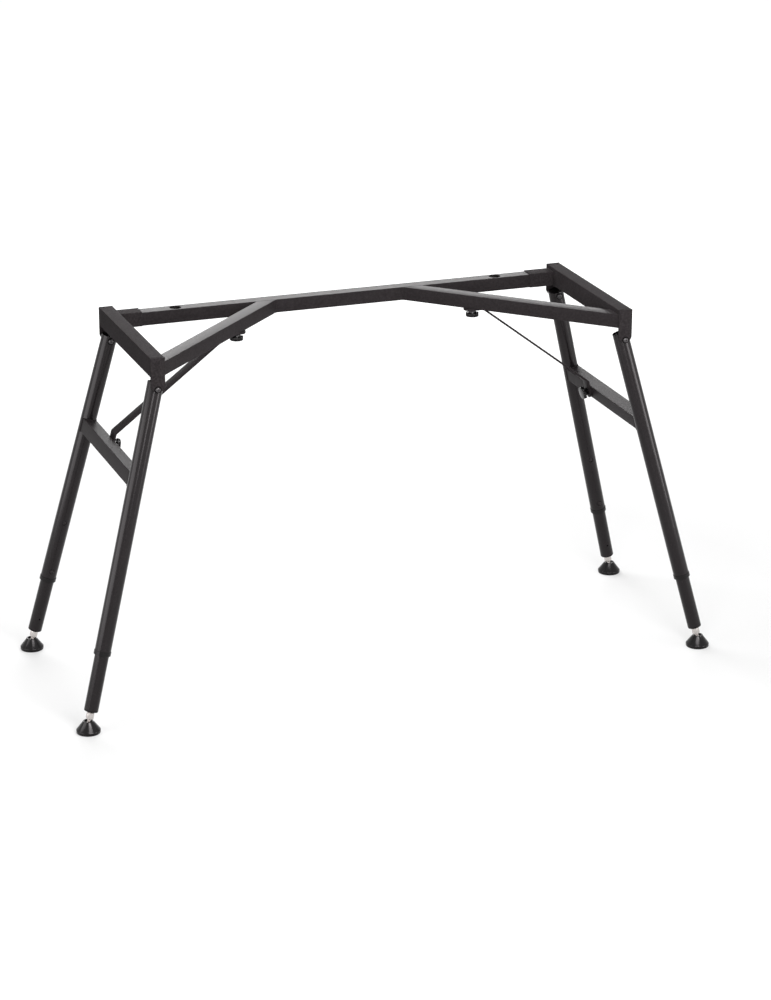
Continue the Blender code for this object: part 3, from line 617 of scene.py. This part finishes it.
class STAND_OT_feet(bpy.types.Operator):
    """Make the foot plugs, threaded studs and pads"""
    bl_idname = "stand.feet"
    bl_label = "Feet"

    def execute(self, context):
        edge = context.scene.stand_sizes.edge
        for side, side_word in SIDES.items():
            for end, end_word in ENDS.items():
                name = f"{side_word}_{end_word}"
                leg = leg_frame(side, end)
                self.make_plug(leg, name, edge)
                self.make_stud(leg, name)
                self.make_pad(leg @ Vector((0, 0, -BALL_DOWN)), name, edge)
        return {"FINISHED"}

    def make_plug(self, leg, name, edge):
        flange = -LOWER_END - GAP
        low = flange - PLUG_FLANGE
        fit, bore = LOWER_RADIUS - LOWER_WALL - GAP, STUD_RADIUS + GAP
        plug = [(fit, flange + PLUG_TALL), (fit, flange), (LOWER_RADIUS - edge / 2, flange),
                (LOWER_RADIUS, flange - edge / 2), (LOWER_RADIUS, low + 1.2 * MM), (LOWER_RADIUS - 0.35 * MM, low + 0.35 * MM),
                (LOWER_RADIUS - 1.2 * MM, low), (bore, low), (bore, flange + PLUG_TALL)]
        piece(name + "_end_plug", lathe(plug, True), leg, "moulded black polypropylene", name + "_lower",
              "black_plastic", name + "_foot_plug")

    def make_stud(self, leg, name):
        ball = -BALL_DOWN
        top, hex_top, hex_low = -LOWER_END + STUD_INSIDE, -HEX_DOWN, -HEX_DOWN - HEX_TALL
        root = STUD_RADIUS - THREAD_DEEP
        thread = []
        for high, low in ((top, hex_top), (hex_low, ball + NECK_LONG)):
            turns = int((high - low) / THREAD_PITCH)
            thread += [(radius, high - (i + share) * THREAD_PITCH) for i in range(turns)
                       for radius, share in ((root, 0.0), (STUD_RADIUS, 0.45), (STUD_RADIUS, 0.55))]
            thread.append((root, low))
        first = math.degrees(math.asin(NECK_RADIUS / BALL_RADIUS))
        sphere = arc((0.0, ball), BALL_RADIUS, 90 - first, -90, 15)
        sphere[-1] = (0.0, ball - BALL_RADIUS)
        outline = [(0.0, top)] + thread + [(NECK_RADIUS, ball + NECK_LONG)] + sphere
        item = piece(name + "_stud_bar", lathe(outline, steps=48), leg, "bright zinc plate", name + "_stud",
                     "zinc_plated_steel", name + "_foot_stud")
        hexagon = rod(HEX_RADIUS, hex_low, hex_top, 6)
        soften(hexagon, hexagon.edges[:], 0.3 * MM, 2)
        carve(item, hexagon, leg, "UNION")

    def make_pad(self, centre, name, edge):
        floor, rim = -centre.z, PAD_TALL - centre.z
        cup = arc((0.0, 0.0), BALL_RADIUS + GAP, -90, 24, 12)
        cup[0] = (0.0, -BALL_RADIUS - GAP)
        mouth = STUD_RADIUS + 4.2 * MM
        outside = [(mouth, rim - edge), (mouth + edge, rim), (PAD_RIM_RADIUS - 1.2 * MM, rim),
                   (PAD_RIM_RADIUS - 0.4 * MM, rim - 0.35 * MM), (PAD_RIM_RADIUS, rim - 1.2 * MM)]
        shoulder = arc((PAD_RADIUS - 2.0 * MM, floor + PAD_SIDE - 1.3 * MM), 2.0 * MM, 48, 0, 6)
        foot = arc((PAD_RADIUS - 1.8 * MM, floor + 1.6 * MM), 1.6 * MM, 0, -90, 6)
        outline = cup + outside + shoulder + foot + [(0.0, floor)]
        piece(name + "_pad_body", lathe(outline), Matrix.Translation(centre), "moulded black polypropylene",
              name + "_pad", "black_plastic", name + "_foot_pad")


class STAND_OT_braces(bpy.types.Operator):
    """Make the flat braces and their lobed knobs"""
    bl_idname = "stand.braces"
    bl_label = "Braces"

    def execute(self, context):
        edge = context.scene.stand_sizes.edge
        for side, word in SIDES.items():
            self.make_brace(side, word, edge)
            for where, place in (("upper", upper_knob_frame(side)), ("lower", lower_knob_frame(side))):
                self.make_knob(f"{word}_{where}_knob", place, edge)
        return {"FINISHED"}

    def bent_path(self, corners):
        """Points on the brace's middle line, with its direction at each."""
        path = [(corners[0], (corners[1] - corners[0]).normalized())]
        for before, corner, after in zip(corners, corners[1:], corners[2:]):
            run_in, run_out = (corner - before).normalized(), (after - corner).normalized()
            turn = run_in.angle_signed(run_out)
            cut = BRACE_BEND * math.tan(abs(turn) / 2)
            centre = corner - run_in * cut + Vector((run_in.y, -run_in.x)) * math.copysign(BRACE_BEND, turn)
            for i in range(9):
                spin = Matrix.Rotation(-turn * i / 8, 2)
                path.append((centre + spin @ (corner - run_in * cut - centre), spin @ run_in))
        path.append((corners[-1], (corners[-1] - corners[-2]).normalized()))
        return path

    def make_brace(self, side, word, edge):
        bar = crossbar_frame(side)
        on_bar = [bar @ Vector((CROSSBAR_SIZE / 2 + GAP + BRACE_THICK / 2, 0, up))
                  for up in (BRACE_ABOVE, -CROSSBAR_SIZE / 2)]
        high = TUBE_BOTTOM - GAP - BRACE_THICK / 2
        corners = [Vector((KNOB_OUT - BRACE_TAB_END, high)), Vector((KNOB_OUT + BRACE_TAB_BEND, high))]
        corners += [Vector((side * point.x, point.z)) for point in on_bar]
        path = self.bent_path(corners)
        half = BRACE_WIDE / 2
        ends = [(half * (1 - math.cos(a)), half * math.sin(a)) for a in map(math.radians, range(6, 91, 6))]
        first, last = path[0], path[-1]
        rows = [(first[0] + first[1] * along, wide) for along, wide in ends]
        rows += [(point, half) for point, run in path[1:-1]]
        rows += [(last[0] - last[1] * along, wide) for along, wide in reversed(ends)]
        bm = bmesh.new()
        line = bm.edges.new([bm.verts.new((0, wide, 0)) for wide in (-1, 1)])
        for i, (point, wide) in enumerate(rows):
            if i:
                made = bmesh.ops.extrude_edge_only(bm, edges=[line])["geom"]
                line = bm.edges.get([v for v in made if isinstance(v, bmesh.types.BMVert)])
            for vert in line.verts:
                vert.co = (side * point.x, BRACE_Y + math.copysign(wide, vert.co.y - (BRACE_Y if i else 0.0)), point.y)
        bmesh.ops.recalc_face_normals(bm, faces=bm.faces)
        item = piece(word + "_brace_strip", bm, Matrix(), "satin powder coat", word + "_brace_body",
                     "black_powder_coat", word + "_brace")
        shell = item.modifiers.new("thickness", "SOLIDIFY")
        shell.thickness, shell.offset, shell.use_even_offset = BRACE_THICK, 0.0, True
        rounding = item.modifiers.new("edges", "BEVEL")
        rounding.width, rounding.segments, rounding.angle_limit = edge, 2, math.radians(50)
        for place in (upper_knob_frame(side), lower_knob_frame(side)):
            carve(item, rod(KNOB_STUD + GAP, -2 * BRACE_THICK, 2 * BRACE_THICK), place)

    def make_knob(self, name, place, edge):
        seat = BRACE_THICK + 2 * GAP
        grip, face = seat + KNOB_HUB, seat + KNOB_HUB + KNOB_GRIP
        lobed = rod(1.0, grip, face, 16 * KNOB_LOBES)
        for vert in lobed.verts:
            turn = KNOB_LOBES * math.atan2(vert.co.y, vert.co.x)
            radius = KNOB_RADIUS - KNOB_LOBE_DEEP * (1 - math.cos(turn)) / 2
            vert.co.x *= radius
            vert.co.y *= radius
        soften(lobed, [e for e in lobed.edges if abs(e.verts[0].co.z - e.verts[1].co.z) < 1e-7], 0.8 * MM)
        hub = lathe([(0.0, grip + 1 * MM), (KNOB_HUB_RADIUS + 0.8 * MM, grip + 0.2 * MM), (KNOB_HUB_RADIUS, grip - 1.2 * MM),
                     (KNOB_HUB_RADIUS, seat + edge), (KNOB_HUB_RADIUS - edge, seat), (0.0, seat)])
        disc = rod(KNOB_FACE_RADIUS, face - 0.3 * MM, face + KNOB_FACE, STEPS, edge)
        stud = rod(KNOB_STUD, GAP, grip, 32)
        item = piece(name + "_grip", merge(lobed, hub, disc, stud), place, "moulded black polypropylene",
                     name + "_body", "black_plastic", name)
        shade(item, 40)


class STAND_OT_welds(bpy.types.Operator):
    """Lay the weld beads of the frame and the crossbars"""
    bl_idname = "stand.welds"
    bl_label = "Welds"

    def execute(self, context):
        bead = context.scene.stand_sizes.bead
        slant = DIAGONAL_WIDE / math.sqrt(2)
        low, high = TUBE_BOTTOM + 0.8 * bead, TUBE_BOTTOM + RAIL_SIZE.z - 0.8 * bead
        rail_front, reach = RAIL_LOW.y - GAP / 2, BEAM_INNER - GAP / 2
        saddle = RAIL_SIZE.y / 2 + GAP + TUBE_WALL
        for side, word in SIDES.items():
            x = side * (DIAGONAL_SUM - rail_front)
            ring = [(x + a * slant, rail_front, z) for a, z in ((-1, low), (1, low), (1, high), (-1, high))]
            self.lay(word + "_rail_weld", ring, bead, "frame")
            y = DIAGONAL_SUM - reach
            tall = TUBE_BOTTOM + RAIL_SIZE.z
            ring = [(side * reach, y + a * slant, z) for a, z in ((-1, low), (1, low), (1, tall), (-1, tall))]
            self.lay(word + "_beam_weld", ring, bead, "frame")
            roof = TUBE_BOTTOM + RAIL_SIZE.z + GAP + TUBE_WALL
            hoop = [(side * reach, RAIL_Y - saddle, low), (side * reach, RAIL_Y - saddle, roof),
                    (side * reach, BEAM_END - bead, roof)]
            self.lay(word + "_saddle_weld", hoop, bead, "frame", closed=False)
            for end, end_word in ENDS.items():
                self.lay(f"{word}_{end_word}_crossbar_weld", self.cope_line(side, end), bead, word + "_leg_pair")
        return {"FINISHED"}

    def cope_line(self, side, end):
        """Points where a crossbar's outline meets its leg."""
        bar, leg = crossbar_frame(side), leg_frame(side, end)
        half = CROSSBAR_SIZE / 2
        corners = [(-half, -half), (half, -half), (half, half), (-half, half), (-half, -half)]
        outline = [Vector(a).lerp(Vector(b), i / 8) for a, b in zip(corners, corners[1:]) for i in range(8)]
        to_leg = leg.inverted()
        run = to_leg.to_3x3() @ Vector((0, end, 0))
        line = []
        for spot in outline:
            start = to_leg @ (bar @ Vector((spot.x, 0, spot.y)))
            a = run.x ** 2 + run.y ** 2
            b = start.x * run.x + start.y * run.y
            c = start.x ** 2 + start.y ** 2 - LEG_RADIUS ** 2
            line.append(leg @ (start + run * (-b - math.sqrt(b * b - a * c)) / a))
        return line

    def lay(self, name, points, radius, body, closed=True):
        curve = bpy.data.curves.new(name, "CURVE")
        curve.dimensions = "3D"
        curve.bevel_depth = radius
        curve.bevel_resolution = 3
        curve.use_fill_caps = not closed
        spline = curve.splines.new("POLY")
        spline.points.add(len(points) - 1)
        spline.use_cyclic_u = closed
        for spot, point in zip(spline.points, points):
            spot.co = (*point, 1.0)
        guide = bpy.data.objects.new(name + "_guide", curve)
        bpy.context.scene.collection.objects.link(guide)
        bpy.context.view_layer.update()
        mesh = bpy.data.meshes.new_from_object(guide.evaluated_get(bpy.context.evaluated_depsgraph_get()))
        bpy.data.objects.remove(guide)
        bm = bmesh.new()
        bm.from_mesh(mesh)
        bpy.data.meshes.remove(mesh)
        bmesh.ops.remove_doubles(bm, verts=bm.verts, dist=1e-6)
        bmesh.ops.recalc_face_normals(bm, faces=bm.faces)
        item = piece(name, bm, Matrix(), "powder coat over weld", body, "black_powder_coat")
        shade(item, 60)


class STAND_OT_stage(bpy.types.Operator):
    """Make the floor, the lights and the camera"""
    bl_idname = "stand.stage"
    bl_label = "Stage"

    def execute(self, context):
        context.scene.view_settings.view_transform = "Standard"
        self.make_world(context.scene)
        self.make_floor(context.scene)
        for name, place, aim, size, power in (
                ("left soft box", (-2.4, -0.4, 0.8), (-0.5, 0, 0.5), (2.0, 1.2), 27),
                ("right soft box", (2.3, -2.0, 0.7), (0.5, 0, 0.4), (1.2, 1.0), 32),
                ("middle lamp", (-0.2, -1.8, 1.5), (0.3, 0, 0.6), (1.4, 1.4), 48),
                ("top lamp", (-0.2, 0.9, 1.8), (0.3, 0, 0.6), (0.8, 0.8), 26),
                ("rear high panel", (0.3, 3.0, 2.6), (0, 0, 0.7), (2.5, 0.8), 33),
                ("rear panel", (0.9, 3.4, 1.85), (0, 0, 0.7), (3.0, 0.6), 84),
                ("front panel", (0.3, -3.5, 2.6), (0, 0, 0.5), (1.5, 1.0), 60)):
            self.make_lamp(name, Vector(place), Vector(aim), size, power)
        self.make_camera(context.scene)
        return {"FINISHED"}

    def straight_rays(self, tree):
        """Gives 1 on the rays that the camera, gloss or glass sends past the object, and 0 on the others."""
        rays = add_node(tree, "ShaderNodeLightPath").outputs
        most = rays["Is Camera Ray"]
        for kind in ("Is Glossy Ray", "Is Transmission Ray"):
            most = add_node(tree, "ShaderNodeMath", [(0, most), (1, rays[kind])], operation="MAXIMUM").outputs["Value"]
        return most

    def make_world(self, scene):
        """Lights from all round; rays that the camera, metal or glass sends past the object find white."""
        world = bpy.data.worlds.new("studio")
        scene.world = world
        world.use_nodes = True
        tree = world.node_tree
        seen = self.straight_rays(tree)
        level = add_node(tree, "ShaderNodeMapRange", [("Value", seen)])
        level.inputs["To Min"].default_value = 0.30
        level.inputs["To Max"].default_value = 1.0
        background = tree.nodes["Background"]
        background.inputs["Color"].default_value = (1, 1, 1, 1)
        tree.links.new(background.inputs["Strength"], level.outputs["Result"])

    def make_floor(self, scene):
        """A plain floor that looks white to the camera and in gloss, apart from the stand's soft shadow."""
        bm = bmesh.new()
        bmesh.ops.create_grid(bm, x_segments=1, y_segments=1, size=40.0)
        mesh = bpy.data.meshes.new("floor")
        bm.to_mesh(mesh)
        bm.free()
        floor = bpy.data.objects.new("floor", mesh)
        scene.collection.objects.link(floor)
        material = bpy.data.materials.new("matt studio floor")
        material.use_nodes = True
        tree = material.node_tree
        shader = tree.nodes["Principled BSDF"]
        shader.inputs["Base Color"].default_value = (0.35, 0.35, 0.35, 1)
        shader.inputs["Roughness"].default_value = 1.0
        shader.inputs["Specular IOR Level"].default_value = 0.0
        shader.inputs["Emission Color"].default_value = (1, 1, 1, 1)
        where = add_node(tree, "ShaderNodeTexCoord").outputs["Object"]
        far = add_node(tree, "ShaderNodeVectorMath", [("Vector", where)], operation="LENGTH").outputs["Value"]
        # The floor glows a little less by the stand, where the lamps light it as well
        glow = add_node(tree, "ShaderNodeMapRange", [("Value", far)])
        for name, value in (("From Min", 1.0), ("From Max", 3.0), ("To Min", 0.40), ("To Max", 0.90)):
            glow.inputs[name].default_value = value
        amount = add_node(tree, "ShaderNodeMath", [(0, self.straight_rays(tree)), (1, glow.outputs["Result"])],
                          operation="MULTIPLY")
        tree.links.new(shader.inputs["Emission Strength"], amount.outputs["Value"])
        mesh.materials.append(material)

    def make_lamp(self, name, place, aim, size, power):
        lamp = bpy.data.lights.new(name, "AREA")
        lamp.shape = "RECTANGLE"
        lamp.size, lamp.size_y = size
        lamp.energy = power
        item = bpy.data.objects.new(name, lamp)
        item.location = place
        item.rotation_euler = (aim - place).to_track_quat("-Z", "Y").to_euler()
        bpy.context.scene.collection.objects.link(item)

    def make_camera(self, scene):
        yaw, pitch, roll, distance = math.radians(-20.171), math.radians(19.777), math.radians(0.151), 6.3541
        target = Vector((0.0439, 0.0, 0.3191))
        camera = bpy.data.cameras.new("camera")
        camera.sensor_width = 36.0
        camera.lens = 111.63
        camera.clip_end = 200.0
        item = bpy.data.objects.new("camera", camera)
        item.rotation_euler = (Matrix.Rotation(yaw, 3, "Z") @ Matrix.Rotation(math.pi / 2 - pitch, 3, "X")
                               @ Matrix.Rotation(roll, 3, "Z")).to_euler()
        forward = Vector((-math.sin(yaw) * math.cos(pitch), math.cos(yaw) * math.cos(pitch), -math.sin(pitch)))
        item.location = target - forward * distance
        scene.collection.objects.link(item)
        scene.camera = item


class STAND_PT_panel(bpy.types.Panel):
    """The stand's sizes, colours and operators"""
    bl_idname = "STAND_PT_panel"
    bl_label = "Keyboard Stand"
    bl_space_type = "VIEW_3D"
    bl_region_type = "UI"
    bl_category = "Stand"

    def draw(self, context):
        for group in (context.scene.stand_sizes, context.scene.stand_colours):
            for name in group.__annotations__:
                self.layout.prop(group, name)
        for operator in OPERATORS:
            self.layout.operator(operator.bl_idname)


OPERATORS = (STAND_OT_tubes, STAND_OT_pivots, STAND_OT_legs, STAND_OT_feet, STAND_OT_braces, STAND_OT_welds,
             STAND_OT_stage)
CLASSES = (StandColours, StandSizes, *OPERATORS, STAND_PT_panel)


def register():
    for cls in CLASSES:
        bpy.utils.register_class(cls)
    bpy.types.Scene.stand_colours = PointerProperty(type=StandColours)
    bpy.types.Scene.stand_sizes = PointerProperty(type=StandSizes)


def unregister():
    del bpy.types.Scene.stand_sizes
    del bpy.types.Scene.stand_colours
    for cls in reversed(CLASSES):
        bpy.utils.unregister_class(cls)


def main():
    register()
    bpy.ops.stand.tubes()
    bpy.ops.stand.pivots()
    bpy.ops.stand.legs()
    bpy.ops.stand.feet()
    bpy.ops.stand.braces()
    bpy.ops.stand.welds()
    bpy.ops.stand.stage()


if __name__ == "__main__":
    main()
